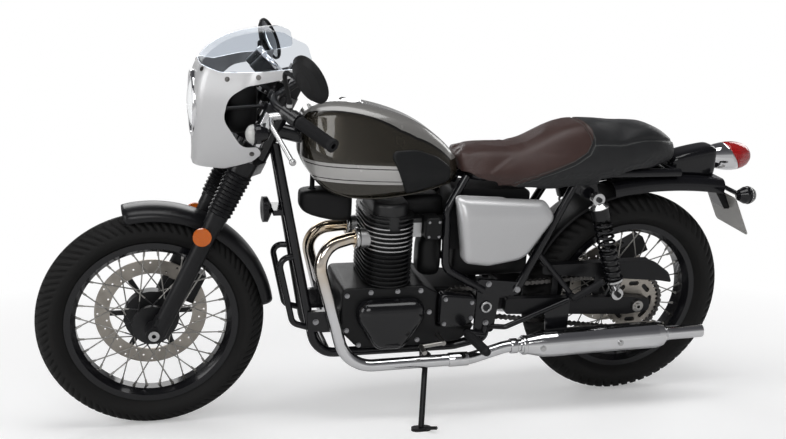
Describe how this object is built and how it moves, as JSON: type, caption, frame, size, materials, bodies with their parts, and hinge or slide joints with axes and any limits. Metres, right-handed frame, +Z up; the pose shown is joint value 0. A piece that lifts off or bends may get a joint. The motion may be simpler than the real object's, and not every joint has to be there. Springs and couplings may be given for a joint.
{
  "type": "cafe racer motorcycle",
  "caption": "Retro cafe racer motorcycle with a half fairing, air-cooled twin engine, wire wheels and humped seat, parked leaning on its side stand.",
  "frame": {"origin": "on the ground under the middle of the bounding box, with the bike leaned on its side stand", "axes": "+X forward, +Y to the rider's left, +Z up"},
  "size_m": [2.1822, 0.8094, 1.1788],
  "materials": {
    "black_paint": "gloss black paint",
    "silver_paint": "silver paint",
    "black_plastic": "black moulded plastic",
    "chrome": "polished chrome",
    "alloy": "cast and polished alloy",
    "black_alloy": "black painted alloy",
    "steel": "ground steel",
    "rubber": "black rubber",
    "tyre": "black tyre rubber",
    "seat": "brown and black seat cover",
    "tank": "dark brown paint",
    "clear": "clear plastic",
    "smoke": "tinted clear screen",
    "red": "red lens",
    "amber": "amber reflector",
    "plate": "blank grey plate"
  },
  "bodies": {
    "chassis": {"frame": "black_paint", "swingarm": "black_paint", "crankcase": "alloy", "engine_covers": "alloy", "cylinder_block": "black_alloy", "cylinder_head": "black_alloy", "bevel_tower": "alloy", "throttle_bodies": "black_alloy", "airbox": "black_plastic", "header_pipes": "chrome", "silencers": "chrome", "fuel_tank": "tank", "tank_cap": "chrome", "knee_pads": "rubber", "seat": "seat", "side_covers": "silver_paint", "rear_fender": "black_plastic", "number_plate": "plate", "tail_lamp": "chrome", "tail_lens": "red", "rear_signals": "black_plastic", "shock_dampers": "chrome", "shock_springs": "black_paint", "chain": "steel", "chain_guard": "black_plastic", "rear_axle": "steel", "rear_caliper": "black_alloy", "footpegs": "rubber", "foot_levers": "steel", "horn": "black_plastic"},
    "steering": {"fork_yokes": "black_alloy", "fork_tubes": "chrome", "fork_gaiters": "rubber", "fork_sliders": "alloy", "front_axle": "steel", "front_fender": "black_paint", "front_caliper": "black_alloy", "reflectors": "amber", "headlamp": "chrome", "headlamp_lens": "clear", "fairing": "silver_paint", "windscreen": "smoke", "fairing_stays": "black_paint", "gauges": "black_plastic", "front_signals": "black_plastic", "handlebar": "black_paint", "grips": "rubber", "hand_levers": "black_alloy", "mirrors": "black_plastic"},
    "front_wheel": {"front_tyre": "tyre", "front_rim": "alloy", "front_hub": "black_alloy", "front_disc": "steel"},
    "rear_wheel": {"rear_tyre": "tyre", "rear_rim": "alloy", "rear_hub": "black_alloy", "rear_disc": "steel", "sprocket": "steel"},
    "side_stand": {"side_stand": "black_paint"}
  },
  "joints": [
    {"name": "steering", "type": "hinge", "parent": "chassis", "child": "steering", "pos_m": [0.72286, -0.13053, 0.2904], "axis": [-0.4384, 0.1622, 0.884], "range_deg": [-34, 34]},
    {"name": "front_wheel", "type": "hinge", "parent": "steering", "child": "front_wheel", "pos_m": [0.77245, -0.12616, 0.31419], "axis": [0, 0.9836, -0.1805], "continuous": true},
    {"name": "rear_wheel", "type": "hinge", "parent": "chassis", "child": "rear_wheel", "pos_m": [-0.69255, -0.12359, 0.3282], "axis": [0, 0.9836, -0.1805], "continuous": true},
    {"name": "side_stand", "type": "hinge", "parent": "chassis", "child": "side_stand", "pos_m": [-0.01805, -0.03559, 0.17614], "axis": [-0.0947, 0.7999, 0.5926], "range_deg": [0, 98]}
  ]
}
